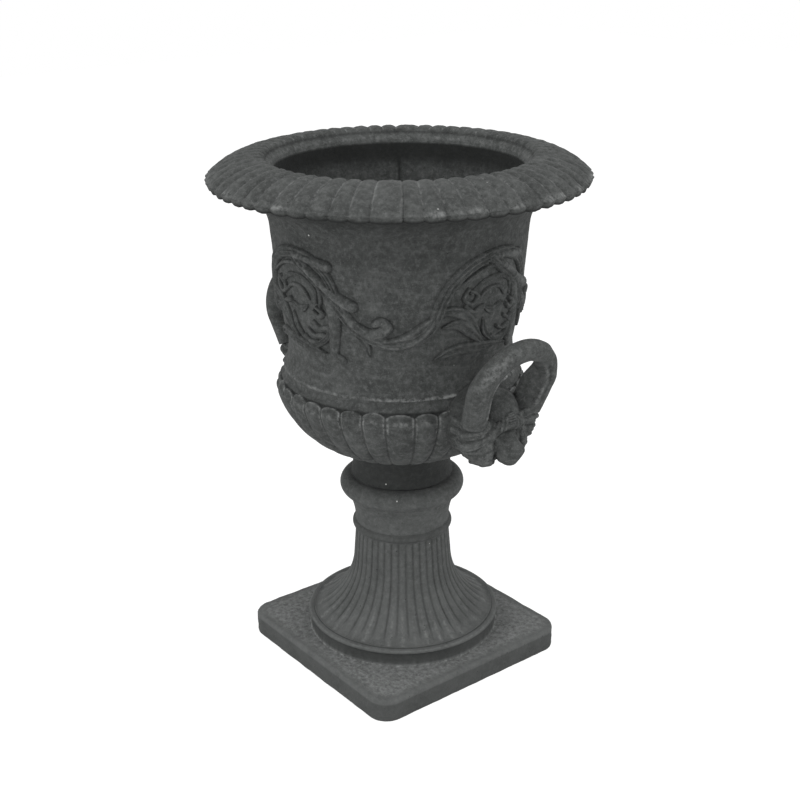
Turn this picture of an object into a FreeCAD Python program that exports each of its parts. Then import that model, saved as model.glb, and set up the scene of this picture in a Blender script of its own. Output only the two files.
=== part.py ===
import FreeCAD, Part
import math
import os
import re
import Sketcher
from FreeCAD import Placement, Rotation, Vector

# Garden urn planter of dark cast stone, in millimetres.
# +Z is up and the origin is the middle of the plinth's underside. The two handles stand on +X and -X.
# Heights stack up from the ground: plinth, foot ring, foot, neck, knob, gasket, bowl.

SIZES = {
    # square plinth
    "plinth_side": 317,
    "plinth_height": 33,
    "plinth_edge_round": 9,
    "plinth_corner_round": 28,
    # pedestal: foot ring, hollow-curved foot, shaft, astragal, neck and knob
    "ring_seat_radius": 133,
    "ring_top_radius": 127,
    "ring_height": 25,
    "ring_bulge": 6.5,
    "foot_curve_height": 82,
    "foot_curve_hollow": 15,
    "shaft_foot_radius": 67.4,
    "shaft_top_radius": 64.2,
    "shaft_height": 42.4,
    "astragal_height": 12.6,
    "astragal_bulge": 4.2,
    "neck_height": 40,
    "neck_hollow": 2.5,
    "knob_foot_radius": 74,
    "knob_top_radius": 70,
    "knob_height": 27,
    "knob_bulge": 15,
    # bowl, outside: stem, gadrooned belly, cove, body, rim
    "stem_foot_radius": 69,
    "stem_waist_radius": 66,
    "stem_waist_rise": 16,
    "stem_top_radius": 92,
    "stem_height": 47,
    "stem_hollow": 8,
    "belly_radius": 165,
    "belly_height": 82,
    "belly_bulge": 13.2,
    "shoulder_radius": 157.5,
    "shoulder_height": 18,
    "shoulder_bulge": 2.5,
    "cove_height": 12,
    "cove_hollow": 3,
    "arris_radius": 154,
    "waist_radius": 146.6,
    "waist_rise": 37,
    "waist_hollow": 2,
    "body_radius": 161.5,
    "body_height": 110,
    "body_bulge": 2,
    "throat_outer_radius": 165,
    "throat_rise": 37,
    "cornice_radius": 205,
    "cornice_height": 40,
    "cornice_hollow": 16,
    "rim_radius": 242.5,
    "rim_soffit_rise": 17,
    "rim_lip_height": 8,
    "rim_lip_inset": 4,
    "rim_crest_radius": 186,
    "rim_height": 28,
    "rim_bulge": 9,
    "bead_radius": 176,
    "bead_drop": 1.5,
    # grooves between the reeds of the foot and the lobes of belly and rim
    "reed_count": 42,
    "reed_groove_width": 2.6,
    "reed_groove_depth": 2,
    "reed_groove_inset": 5,
    "belly_lobe_count": 34,
    "belly_seam_bearing": -38.5,
    "belly_seam_lobe": 13.1,
    "belly_groove_width": 3,
    "belly_groove_depth": 3,
    "rim_lobe_count": 60,
    "rim_seam_bearing": -41.5,
    "rim_seam_lobe": 9,
    "rim_groove_width": 3,
    "rim_groove_depth": 3,
    # bowl, inside
    "throat_radius": 158.5,
    "throat_drop": 14,
    "throat_land": 20,
    "wall": 13.5,
    "floor_thickness": 19,
    "floor_radius": 82,
    "floor_bulge": 11,
    # flat pads inside the wall, behind each handle
    "pad_reach": 140,
    "pad_width": 78,
    "pad_height": 40,
    # handles: a loop that leans outwards from the back of a lion's head
    "loop_lean": 21.3,
    "loop_foot_reach": 203.5,
    "loop_foot_height": 418,
    "loop_foot_half": 41,
    "loop_half_width": 52,
    "loop_leg_height": 34,
    "loop_root": 40,
    "loop_thickness": 27.5,
    "mane_reach": 164,
    "mane_level": 388,
    "mane_radius": 50,
    "brow_reach": 184,
    "brow_level": 412,
    "brow_radius": 32,
    "muzzle_reach": 213,
    "muzzle_level": 361.5,
    "muzzle_radius": 20,
    "lock_radius": 18,
    "jaw_reach": 186,
    "jaw_half": 19,
    "jaw_level": 367,
    "jaw_radius": 26,
    "handle_seat_gap": 0.3,
    # fixings of the handles
    "stud_diameter": 8,
    "stud_half_pitch": 22,
    "stud_level": 390,
    "stud_end": 186,
    "stud_tail": 4,
    "stud_fit": 0.2,
    "stud_hole_play": 0.5,
    "stud_washer_diameter": 22,
    "stud_washer_thickness": 2,
    "stud_nut_width": 13,
    "stud_nut_height": 6.8,
    # gasket and tie through the middle
    "drain_bore_diameter": 34,
    "gasket_thickness": 2,
    "gasket_diameter": 122,
    "gasket_bore": 60,
    "tie_diameter": 12,
    "tie_tail": 4,
    "tie_play": 0.5,
    "tie_bar_length": 76,
    "tie_bar_width": 24,
    "tie_bar_thickness": 5,
    "tie_nut_width": 19,
    "tie_nut_height": 10,
    "recess_diameter": 86,
    "recess_depth": 20,
    "thread_gap": 0.1,
}

# Heights of the joints between the pieces, as rules on the sizes.
RING_TOP = "plinth_height + ring_height"
SHAFT_FOOT = RING_TOP + " + foot_curve_height"
SHAFT_TOP = SHAFT_FOOT + " + shaft_height"
NECK_FOOT = SHAFT_TOP + " + astragal_height"
KNOB_FOOT = NECK_FOOT + " + neck_height"
PEDESTAL_TOP = KNOB_FOOT + " + knob_height"
BOWL_FOOT = PEDESTAL_TOP + " + gasket_thickness"
BELLY_FOOT = BOWL_FOOT + " + stem_height"
BELLY_TOP = BELLY_FOOT + " + belly_height"
COVE_FOOT = BELLY_TOP + " + shoulder_height"
ARRIS = COVE_FOOT + " + cove_height"
WAIST = ARRIS + " + waist_rise"
BODY_TOP = WAIST + " + body_height"
CORNICE_FOOT = BODY_TOP + " + throat_rise"
CORNICE_TOP = CORNICE_FOOT + " + cornice_height"
RIM_EDGE = CORNICE_TOP + " + rim_soffit_rise + rim_lip_height"
RIM_CREST = RIM_EDGE + " + rim_height"
THROAT = RIM_CREST + " - throat_drop"
LAND_FOOT = THROAT + " - throat_land"
FLOOR = BELLY_FOOT + " + floor_thickness"

STUD_NUT_FOOT = "pad_reach - stud_washer_thickness - stud_nut_height"
STUD_TIP = STUD_NUT_FOOT + " - stud_tail"
LOWER_BAR_FOOT = "recess_depth - tie_bar_thickness"
LOWER_NUT_FOOT = LOWER_BAR_FOOT + " - tie_nut_height"
ROD_FOOT = LOWER_NUT_FOOT + " - tie_tail"
UPPER_NUT_FOOT = FLOOR + " + tie_bar_thickness"
ROD_TOP = UPPER_NUT_FOOT + " + tie_nut_height + tie_tail"

FUNCTIONS = ("sqrt", "sin", "cos", "tan", "abs", "deg")
WORD = re.compile(r"[a-z][a-z_]*")

document = FreeCAD.newDocument("urn_planter")
sheet = document.addObject("Spreadsheet::Sheet", "Sizes")
for row, (alias, size) in enumerate(SIZES.items(), start=1):
    sheet.set(f"A{row}", alias)
    sheet.set(f"B{row}", str(size))
    sheet.setAlias(f"B{row}", alias)
document.recompute()


def bound(rule):
    """A rule on the sizes, written so that any object of the document can read it."""
    return WORD.sub(lambda word: word[0] if word[0] in FUNCTIONS else "Sizes." + word[0], rule)


def amount(rule):
    """What a rule comes to with the sizes as they are."""
    value = sheet.evalExpression(rule)
    return float(getattr(value, "Value", value))


def bind(piece, **rules):
    """Tie properties of a piece to rules; a double underscore stands for a dot."""
    for name, rule in rules.items():
        piece.setExpression(name.replace("__", "."), bound(rule))


def new(kind, name, **rules):
    piece = document.addObject(kind, name)
    bind(piece, **rules)
    return piece


# ---------------------------------------------------------------- outlines


def bulge_radius(start, end, bulge):
    """Radius of the arc between two corners that stands out from their chord by the bulge."""
    across = f"(({end[0]}) - ({start[0]}))"
    up = f"(({end[1]}) - ({start[1]}))"
    return f"({across} ^ 2 + {up} ^ 2) / (8 * ({bulge})) + ({bulge}) / 2"


def arc_between(start, end, bulge):
    """Arc that stands out to the right of the way from start to end, or to the left for a minus."""
    chord = end - start
    right = Vector(chord.y, -chord.x, 0).normalize()
    middle = (start + end) * 0.5 + right * bulge
    if bulge > 0:
        return Part.Arc(start, middle, end), (1, 2)
    return Part.Arc(end, middle, start), (2, 1)


def pin_corner(sketch, edge, end, corner):
    """Hold one corner of an outline at its distances from the sketch's origin."""
    for kind, rule in zip(("DistanceX", "DistanceY"), corner):
        number = sketch.addConstraint(Sketcher.Constraint(kind, -1, 1, edge, end, amount(rule)))
        sketch.setExpression(f"Constraints[{number}]", bound(rule))


def hold_radius(sketch, edge, rule):
    number = sketch.addConstraint(Sketcher.Constraint("Radius", edge, amount(rule)))
    sketch.setExpression(f"Constraints[{number}]", bound(rule))


def draw_outline(sketch, corners):
    """Closed outline through corners (across, up, bulge of the edge that leaves the corner or None).

    A bulge is written as (side, rule): side +1 stands out to the right of the way round, -1 to the left.
    """
    ends = []
    for index, (across, up, bulge) in enumerate(corners):
        after = corners[(index + 1) % len(corners)]
        start = Vector(amount(across), amount(up), 0)
        end = Vector(amount(after[0]), amount(after[1]), 0)
        if bulge is None:
            edge = sketch.addGeometry(Part.LineSegment(start, end))
            ends.append((edge, 1, 2))
            continue
        side, rule = bulge
        curve, order = arc_between(start, end, side * amount(rule))
        edge = sketch.addGeometry(curve)
        ends.append((edge, *order))
        hold_radius(sketch, edge, bulge_radius((across, up), after[:2], rule))
    for index, (edge, first, last) in enumerate(ends):
        after = ends[(index + 1) % len(ends)]
        sketch.addConstraint(Sketcher.Constraint("Coincident", edge, last, after[0], after[1]))
        pin_corner(sketch, edge, first, corners[index][:2])


def sketch_on(body, role, name):
    plane = next(plane for plane in body.Origin.OriginFeatures if plane.Role == role)
    sketch = body.newObject("Sketcher::SketchObject", name)
    sketch.AttachmentSupport = [(plane, "")]
    sketch.MapMode = "FlatFace"
    return sketch


def turned(name, corners):
    """Body turned about the upright axis from an outline of (radius, height, bulge) corners."""
    body = document.addObject("PartDesign::Body", name)
    outline = sketch_on(body, "XZ_Plane", name + "_outline")
    draw_outline(outline, corners)
    turn = body.newObject("PartDesign::Revolution", name + "_turn")
    turn.Profile = outline
    turn.ReferenceAxis = (outline, ["V_Axis"])
    turn.Angle = 360
    document.recompute()
    return body


def groove(body, name, corners, width, bearing):
    """Straight-sided groove of one width, cut along an outline that stands upright at a bearing."""
    outline = sketch_on(body, "XZ_Plane", name + "_outline")
    outline.AttachmentOffset = Placement(Vector(0, 0, 0), Rotation(Vector(0, 1, 0), 1))
    bind(outline, AttachmentOffset__Rotation__Angle=bearing)
    draw_outline(outline, corners)
    pocket = body.newObject("PartDesign::Pocket", name)
    pocket.Profile = outline
    pocket.SideType = "Symmetric"
    bind(pocket, Length=width)
    document.recompute()
    return pocket


def repeat(body, feature, count, span):
    """Copies of a groove spread evenly over a turn about the upright axis."""
    pattern = body.newObject("PartDesign::PolarPattern", feature.Name + "_round")
    pattern.Originals = [feature]
    axis = next(line for line in body.Origin.OriginFeatures if line.Role == "Z_Axis")
    pattern.Axis = (axis, [""])
    bind(pattern, Occurrences=count, Angle=span)
    body.Tip = pattern
    document.recompute()
    return pattern


def lobe_grooves(body, name, corners, seam):
    """Grooves between lobes: even on each side of two wider lobes, which lie on the mould's seams."""
    for side, turn in (("first", "0"), ("second", "180")):
        bearing = f"{seam}_seam_bearing + {seam}_seam_lobe / 2 + {turn}"
        cut_one = groove(body, f"{name}_{side}", corners, f"{seam}_groove_width", bearing)
        repeat(body, cut_one, f"{seam}_lobe_count / 2", f"180 - {seam}_seam_lobe")


# ---------------------------------------------------------------- plain solids


def cylinder(name, diameter, height, **place):
    return new("Part::Cylinder", name, Radius=f"({diameter}) / 2", Height=height, **place)


def block(name, length, width, height, middle_x, middle_y, foot):
    """Box centred on a point of the plan, standing on a height."""
    return new(
        "Part::Box",
        name,
        Length=length,
        Width=width,
        Height=height,
        Placement__Base__x=f"{middle_x} - ({length}) / 2",
        Placement__Base__y=f"{middle_y} - ({width}) / 2",
        Placement__Base__z=foot,
    )


def cut(name, base, tool):
    piece = document.addObject("Part::Cut", name)
    piece.Base = base
    piece.Tool = tool
    return piece


def fuse(name, pieces):
    piece = document.addObject("Part::MultiFuse", name)
    piece.Shapes = pieces
    return piece


def group(name, pieces):
    """Separate solids of one kind that share a node."""
    piece = document.addObject("Part::Compound", name)
    piece.Links = pieces
    return piece


def along_x(piece):
    """Turn a solid that stands on +Z so that it points along +X."""
    piece.Placement = Placement(piece.Placement.Base, Rotation(Vector(0, 1, 0), 90))
    return piece


def hex_nut(name, width, height, bore):
    prism = new("Part::Prism", name + "_prism", Circumradius=f"({width}) / sqrt(3)", Height=height)
    prism.Polygon = 6
    return cut(name, prism, cylinder(name + "_bore", bore, height))


def ring(name, outer, bore, thickness):
    return cut(name, cylinder(name + "_disc", outer, thickness), cylinder(name + "_bore", bore, thickness))


# ---------------------------------------------------------------- plinth and pedestal


def plinth():
    """Square slab with softened upper edges, bored for the drain and recessed below for the tie."""
    body = document.addObject("PartDesign::Body", "plinth_slab")
    square = sketch_on(body, "XY_Plane", "plinth_square")
    half = "plinth_side / 2"
    minus_half = "-plinth_side / 2"
    corners = ((minus_half, minus_half), (half, minus_half), (half, half), (minus_half, half))
    draw_outline(square, [(across, up, None) for across, up in corners])
    slab = body.newObject("PartDesign::Pad", "plinth_pad")
    slab.Profile = square
    bind(slab, Length="plinth_height")
    document.recompute()
    upright = [f"Edge{n}" for n, edge in enumerate(slab.Shape.Edges, 1) if edge.BoundBox.ZLength > 1]
    corners_round = body.newObject("PartDesign::Fillet", "plinth_corners")
    corners_round.Base = (slab, upright)
    bind(corners_round, Radius="plinth_corner_round")
    document.recompute()
    top = amount("plinth_height") - 0.01
    upper = [f"Edge{n}" for n, edge in enumerate(corners_round.Shape.Edges, 1) if edge.BoundBox.ZMin > top]
    edge_round = body.newObject("PartDesign::Fillet", "plinth_edges")
    edge_round.Base = (corners_round, upper)
    bind(edge_round, Radius="plinth_edge_round")
    document.recompute()
    bore = cylinder("plinth_bore", "drain_bore_diameter", "plinth_height")
    recess = cylinder("plinth_recess", "recess_diameter", "recess_depth")
    return cut("plinth", body, fuse("plinth_hollows", [bore, recess]))


def pedestal():
    """Turned casting with a central bore: foot ring, reeded foot, shaft, astragal, neck and knob."""
    bore = "drain_bore_diameter / 2"
    body = turned(
        "pedestal",
        [
            (bore, "plinth_height", None),
            ("ring_seat_radius", "plinth_height", (1, "ring_bulge")),
            ("ring_top_radius", RING_TOP, (-1, "foot_curve_hollow")),
            ("shaft_foot_radius", SHAFT_FOOT, None),
            ("shaft_top_radius", SHAFT_TOP, (1, "astragal_bulge")),
            ("shaft_top_radius", NECK_FOOT, (-1, "neck_hollow")),
            ("knob_foot_radius", KNOB_FOOT, (1, "knob_bulge")),
            ("knob_top_radius", PEDESTAL_TOP, None),
            (bore, PEDESTAL_TOP, None),
        ],
    )
    stop = "ring_top_radius - reed_groove_inset"
    top = SHAFT_TOP + " - reed_groove_depth"
    corners = [
        (stop, RING_TOP, (-1, "foot_curve_hollow - 1")),
        ("shaft_foot_radius - reed_groove_depth", SHAFT_FOOT, None),
        ("shaft_top_radius - reed_groove_depth", top, None),
        (stop, top, None),
    ]
    reeds = groove(body, "reed_groove", corners, "reed_groove_width", "0")
    repeat(body, reeds, "reed_count", "360")
    return body


# ---------------------------------------------------------------- bowl


def bowl_outside(name, gap):
    """Turned outside of the bowl, grown by a gap so that the handles can be cut to seat on it."""
    return turned(
        name,
        [
            ("0", BOWL_FOOT, None),
            (f"stem_foot_radius + {gap}", BOWL_FOOT, None),
            (f"stem_waist_radius + {gap}", BOWL_FOOT + " + stem_waist_rise", (-1, "stem_hollow")),
            (f"stem_top_radius + {gap}", f"{BELLY_FOOT} - {gap}", (1, "belly_bulge")),
            (f"belly_radius + {gap}", BELLY_TOP, (1, "shoulder_bulge")),
            (f"shoulder_radius + {gap}", COVE_FOOT, (-1, "cove_hollow")),
            (f"arris_radius + {gap}", ARRIS, (-1, "waist_hollow")),
            (f"waist_radius + {gap}", WAIST, (1, "body_bulge")),
            (f"body_radius + {gap}", BODY_TOP, None),
            (f"throat_outer_radius + {gap}", CORNICE_FOOT, (-1, "cornice_hollow")),
            (f"cornice_radius + {gap}", CORNICE_TOP, None),
            (f"rim_radius - rim_lip_inset + {gap}", CORNICE_TOP + " + rim_soffit_rise", None),
            (f"rim_radius + {gap}", RIM_EDGE, (1, "rim_bulge")),
            (f"rim_crest_radius + {gap}", RIM_CREST, None),
            ("bead_radius", RIM_CREST + " - bead_drop", None),
            ("throat_radius", THROAT, None),
            ("0", THROAT, None),
        ],
    )


def bowl_inside():
    """Turned hollow of the bowl, one wall inside its belly, waist, body and throat."""
    return turned(
        "bowl_hollow",
        [
            ("0", FLOOR, None),
            ("floor_radius", FLOOR, (1, "floor_bulge")),
            ("belly_radius - wall", BELLY_TOP, None),
            ("waist_radius - wall", WAIST, None),
            ("body_radius - wall", BODY_TOP, None),
            ("throat_outer_radius - wall", CORNICE_FOOT, None),
            ("throat_radius", LAND_FOOT, None),
            ("throat_radius", THROAT, None),
            ("0", THROAT, None),
        ],
    )


def gadroon_belly(body):
    """Lobes of the belly, from the stem to a little under the shoulder."""
    foot = BELLY_FOOT + " + belly_groove_depth"
    top = COVE_FOOT + " - 2 * belly_groove_depth"
    clear = "belly_radius + belly_groove_depth"
    corners = [
        ("stem_top_radius", foot, (1, "belly_bulge")),
        ("belly_radius - belly_groove_depth", BELLY_TOP, None),
        ("shoulder_radius", top, None),
        (clear, top, None),
        (clear, foot, None),
    ]
    lobe_grooves(body, "belly_groove", corners, "belly")


def gadroon_rim(body):
    """Lobes of the rim, from its underside round the lip to the edge of the crest."""
    inner = "rim_crest_radius + rim_groove_depth"
    start = "(rim_radius + cornice_radius) / 2 - rim_groove_depth"
    start_height = CORNICE_TOP + " + rim_soffit_rise / 2"
    over = RIM_CREST + " + rim_groove_depth"
    under = CORNICE_TOP + " - rim_groove_depth"
    clear = "rim_radius + rim_groove_depth"
    corners = [
        (start, start_height, None),
        ("rim_radius - rim_lip_inset - rim_groove_depth", CORNICE_TOP + " + rim_soffit_rise", None),
        ("rim_radius - rim_groove_depth", RIM_EDGE, (1, "rim_bulge")),
        (inner, RIM_CREST + " - rim_groove_depth", None),
        (inner, over, None),
        (clear, over, None),
        (clear, under, None),
        (start, under, None),
    ]
    lobe_grooves(body, "rim_groove", corners, "rim")


def handle_pads():
    """Space that the two flat pads leave between their faces, as a block across the bowl."""
    foot = "stud_level - pad_height / 2"
    pads = []
    for side, sign in (("right", "1"), ("left", "-1")):
        reach = f"{sign} * (pad_reach + belly_radius / 2)"
        pads.append(block(f"{side}_pad", "belly_radius", "pad_width", "pad_height", reach, "0", foot))
    return fuse("pads", pads)


def stud_holes():
    """Round holes through the wall and the pads, one for each stud."""
    length = "2 * belly_radius + 20"
    holes = []
    for name, sign in (("front", "-1"), ("back", "1")):
        hole = cylinder(f"{name}_stud_hole", "stud_diameter + 2 * stud_hole_play", length)
        along_x(hole)
        bind(
            hole,
            Placement__Base__x=f"-({length}) / 2",
            Placement__Base__y=f"{sign} * stud_half_pitch",
            Placement__Base__z="stud_level",
        )
        holes.append(hole)
    return fuse("stud_holes", holes)


def bowl():
    """Hollow casting with a drain bore in its floor and a flat, bored pad inside behind each handle."""
    hollow = cut("bowl_hollow_between_pads", bowl_inside(), handle_pads())
    drain = cylinder(
        "bowl_drain",
        "drain_bore_diameter",
        "stem_height + floor_thickness + 2",
        Placement__Base__z=BOWL_FOOT + " - 1",
    )
    openings = fuse("bowl_openings", [hollow, drain, stud_holes()])
    outside = bowl_outside("bowl_outside", "0")
    gadroon_belly(outside)
    gadroon_rim(outside)
    return cut("bowl", outside, openings)


# ---------------------------------------------------------------- handles


def loop(name):
    """Round bar bent to a loop: two legs that close in towards their feet, tangent to the arch above."""
    body = document.addObject("PartDesign::Body", name + "_bar")
    path = sketch_on(body, "YZ_Plane", name + "_path")
    half = amount("loop_half_width")
    centre = amount("loop_leg_height")
    feet = []
    for side in (-1, 1):
        foot = Vector(side * amount("loop_foot_half"), -amount("loop_root"), 0)
        feet.append(path.addGeometry(Part.LineSegment(foot, Vector(side * half, centre, 0))))
    near_leg, far_leg = feet
    top = Vector(0, centre + half, 0)
    arch = path.addGeometry(Part.Arc(Vector(half, centre, 0), top, Vector(-half, centre, 0)))
    pin_corner(path, near_leg, 1, ("-loop_foot_half", "-loop_root"))
    pin_corner(path, far_leg, 1, ("loop_foot_half", "-loop_root"))
    pin_corner(path, arch, 3, ("0", "loop_leg_height"))
    path.addConstraint(Sketcher.Constraint("Tangent", near_leg, 2, arch, 2))
    path.addConstraint(Sketcher.Constraint("Tangent", far_leg, 2, arch, 1))
    hold_radius(path, arch, "loop_half_width")
    document.recompute()
    section = body.newObject("Sketcher::SketchObject", name + "_section")
    section.AttachmentSupport = [(path, "Edge1")]
    section.MapMode = "NormalToEdge"
    circle = section.addGeometry(Part.Circle(Vector(0, 0, 0), Vector(0, 0, 1), amount("loop_thickness / 2")))
    section.addConstraint(Sketcher.Constraint("Coincident", circle, 3, -1, 1))
    hold_radius(section, circle, "loop_thickness / 2")
    document.recompute()
    bar = body.newObject("PartDesign::AdditivePipe", name + "_sweep")
    bar.Profile = section
    bar.Spine = (path, ["Edge1", "Edge2", "Edge3"])
    document.recompute()
    body.Placement = Placement(Vector(0, 0, 0), Rotation(Vector(0, 1, 0), 1))
    bind(
        body,
        Placement__Base__x="loop_foot_reach",
        Placement__Base__z="loop_foot_height",
        Placement__Rotation__Angle="loop_lean",
    )
    return body


def ball(name, radius, reach, across, level):
    """Round mass of the head, its seam turned towards the bowl."""
    mass = new("Part::Sphere", name)
    mass.Placement = Placement(Vector(0, 0, 0), Rotation(Vector(0, 0, 1), 180))
    bind(mass, Radius=radius, Placement__Base__x=reach, Placement__Base__y=across, Placement__Base__z=level)
    return mass


def head(name):
    """Mane, brow and muzzle on the middle line, and on each side a jaw and a lock over the loop's foot."""
    masses = []
    for part in ("mane", "brow", "muzzle"):
        masses.append(ball(f"{name}_{part}", f"{part}_radius", f"{part}_reach", "0", f"{part}_level"))
    reach = "loop_foot_reach - loop_root * sin(loop_lean * 1 deg)"
    level = "loop_foot_height - loop_root * cos(loop_lean * 1 deg)"
    for side, sign in (("front", "-1"), ("back", "1")):
        masses.append(ball(f"{name}_{side}_lock", "lock_radius", reach, f"{sign} * loop_foot_half", level))
        masses.append(ball(f"{name}_{side}_jaw", "jaw_radius", "jaw_reach", f"{sign} * jaw_half", "jaw_level"))
    return masses


def handle(name, bearing):
    """Handle casting: a lion's head in the round with a loop behind its brow, cut to seat on the bowl."""
    casting = fuse(name + "_casting", [*head(name), loop(name)])
    sockets = []
    for side, sign in (("front", "-1"), ("back", "1")):
        socket = cylinder(f"{name}_{side}_socket", "stud_diameter + 2 * stud_fit", "belly_radius")
        along_x(socket)
        bind(
            socket,
            Placement__Base__x="stud_end - belly_radius",
            Placement__Base__y=f"{sign} * stud_half_pitch",
            Placement__Base__z="stud_level",
        )
        sockets.append(socket)
    seat = bowl_outside(name + "_seat", "handle_seat_gap")
    seat.Placement = Placement(Vector(0, 0, 0), Rotation(Vector(0, 0, 1), 180))
    piece = cut(name, casting, fuse(name + "_hollows", [seat, *sockets]))
    piece.Placement = Placement(Vector(0, 0, 0), Rotation(Vector(0, 0, 1), bearing))
    return piece


# ---------------------------------------------------------------- fixings


def at_studs(kind, make, reach):
    """One solid at each of the four studs, its foot at a reach along +X or -X, in one node."""
    pieces = []
    for bearing, side in ((0, "right"), (180, "left")):
        for row, sign in (("front", "-1"), ("back", "1")):
            piece = make(f"{kind}_{side}_{row}")
            outward = "1" if bearing == 0 else "-1"
            piece.Placement = Placement(Vector(0, 0, 0), Rotation(Vector(0, 1, 0), 90 if bearing == 0 else -90))
            bind(
                piece,
                Placement__Base__x=f"{outward} * ({reach})",
                Placement__Base__y=f"{sign} * stud_half_pitch",
                Placement__Base__z="stud_level",
            )
            pieces.append(piece)
    return group(kind, pieces)


def handle_studs():
    """Threaded studs cast into the heads; their tails stand inside the bowl."""
    tip = STUD_TIP
    return at_studs("handle_studs", lambda name: cylinder(name, "stud_diameter", f"stud_end - ({tip})"), tip)


def handle_washers():
    outer = "stud_washer_diameter"
    bore = "stud_diameter + 2 * stud_fit"
    reach = "pad_reach - stud_washer_thickness"
    return at_studs("handle_washers", lambda name: ring(name, outer, bore, "stud_washer_thickness"), reach)


def handle_nuts():
    bore = "stud_diameter + 2 * thread_gap"
    return at_studs(
        "handle_nuts", lambda name: hex_nut(name, "stud_nut_width", "stud_nut_height", bore), STUD_NUT_FOOT
    )


def gasket():
    """Flat ring between the pedestal and the stem of the bowl."""
    piece = ring("stem_gasket", "gasket_diameter", "gasket_bore", "gasket_thickness")
    bind(piece, Placement__Base__z=PEDESTAL_TOP)
    return piece


def tie_bar(name, foot):
    """Flat bar across the drain bore, bored for the tie rod, that leaves the bore open on both sides."""
    bar = block(name + "_flat", "tie_bar_length", "tie_bar_width", "tie_bar_thickness", "0", "0", foot)
    hole = cylinder(
        name + "_hole", "tie_diameter + 2 * tie_play", "tie_bar_thickness", Placement__Base__z=foot
    )
    return cut(name, bar, hole)


def tie_rod():
    """Threaded rod from the nut under the plinth to the nut on the floor of the bowl."""
    return cylinder("tie_rod", "tie_diameter", f"{ROD_TOP} - ({ROD_FOOT})", Placement__Base__z=ROD_FOOT)


def tie_nuts():
    nuts = []
    for side, foot in (("lower", LOWER_NUT_FOOT), ("upper", UPPER_NUT_FOOT)):
        bore = "tie_diameter + 2 * thread_gap"
        nut = hex_nut(f"{side}_tie_nut", "tie_nut_width", "tie_nut_height", bore)
        bind(nut, Placement__Base__z=foot)
        nuts.append(nut)
    return group("tie_nuts", nuts)


def stop_if_failed(pieces):
    """Raise if any object failed, or if a piece is empty or not a valid shape."""
    for item in document.Objects:
        if "Invalid" in item.State or "Error" in item.State:
            raise RuntimeError(f"{item.Label} failed: {item.State}")
    for piece in pieces:
        if piece.Shape.isNull() or not piece.Shape.isValid():
            raise RuntimeError(f"{piece.Label} has no valid shape")


def main():
    pieces = [
        plinth(),
        pedestal(),
        gasket(),
        bowl(),
        handle("handle_right", 0),
        handle("handle_left", 180),
        handle_studs(),
        handle_washers(),
        handle_nuts(),
        tie_rod(),
        tie_bar("tie_bar_upper", FLOOR),
        tie_bar("tie_bar_lower", LOWER_BAR_FOOT),
        tie_nuts(),
    ]
    document.recompute()
    stop_if_failed(pieces)
    os.makedirs("parts", exist_ok=True)
    for piece in pieces:
        piece.Shape.exportStep(f"parts/{piece.Label}.step")
        box = piece.Shape.BoundBox
        print(
            f"{piece.Label:16s} solids {len(piece.Shape.Solids)} volume {piece.Shape.Volume / 1000:9.1f} cm3",
            f"x {box.XMin:7.1f} {box.XMax:7.1f}  y {box.YMin:7.1f} {box.YMax:7.1f}  z {box.ZMin:6.1f} {box.ZMax:6.1f}",
        )


main()
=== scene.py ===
"""Urn planter of charcoal cast stone: turned castings with gadroons, reeds, scrolls and lion-head loops."""

import math

import bpy
import numpy as np
from mathutils import Matrix, Vector


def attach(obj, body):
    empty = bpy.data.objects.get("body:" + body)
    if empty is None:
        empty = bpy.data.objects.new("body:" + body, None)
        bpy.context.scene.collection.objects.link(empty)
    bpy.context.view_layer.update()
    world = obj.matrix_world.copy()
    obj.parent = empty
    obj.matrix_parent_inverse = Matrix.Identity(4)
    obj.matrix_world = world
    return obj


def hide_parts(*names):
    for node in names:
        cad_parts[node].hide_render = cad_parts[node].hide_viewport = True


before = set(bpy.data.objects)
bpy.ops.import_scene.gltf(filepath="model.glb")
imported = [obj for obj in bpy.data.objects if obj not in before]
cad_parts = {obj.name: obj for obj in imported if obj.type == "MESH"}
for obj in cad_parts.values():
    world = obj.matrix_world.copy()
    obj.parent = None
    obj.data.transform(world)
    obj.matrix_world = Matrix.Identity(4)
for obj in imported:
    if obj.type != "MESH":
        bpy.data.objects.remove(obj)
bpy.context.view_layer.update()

# Outlines and reliefs are in millimetres and degrees, heights from the ground; the scene is in metres.
MM = 0.001

# ---------- outlines
# (radius, height, bulge of the stretch that leaves the corner, rows of the mesh on that stretch).
# A bulge stands out to the right of the way round, and the material lies on the left.

BODY_SPLIT = 612.0
ARRIS_HEIGHT = 423.0
BORE_RADIUS = 17.0

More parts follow.
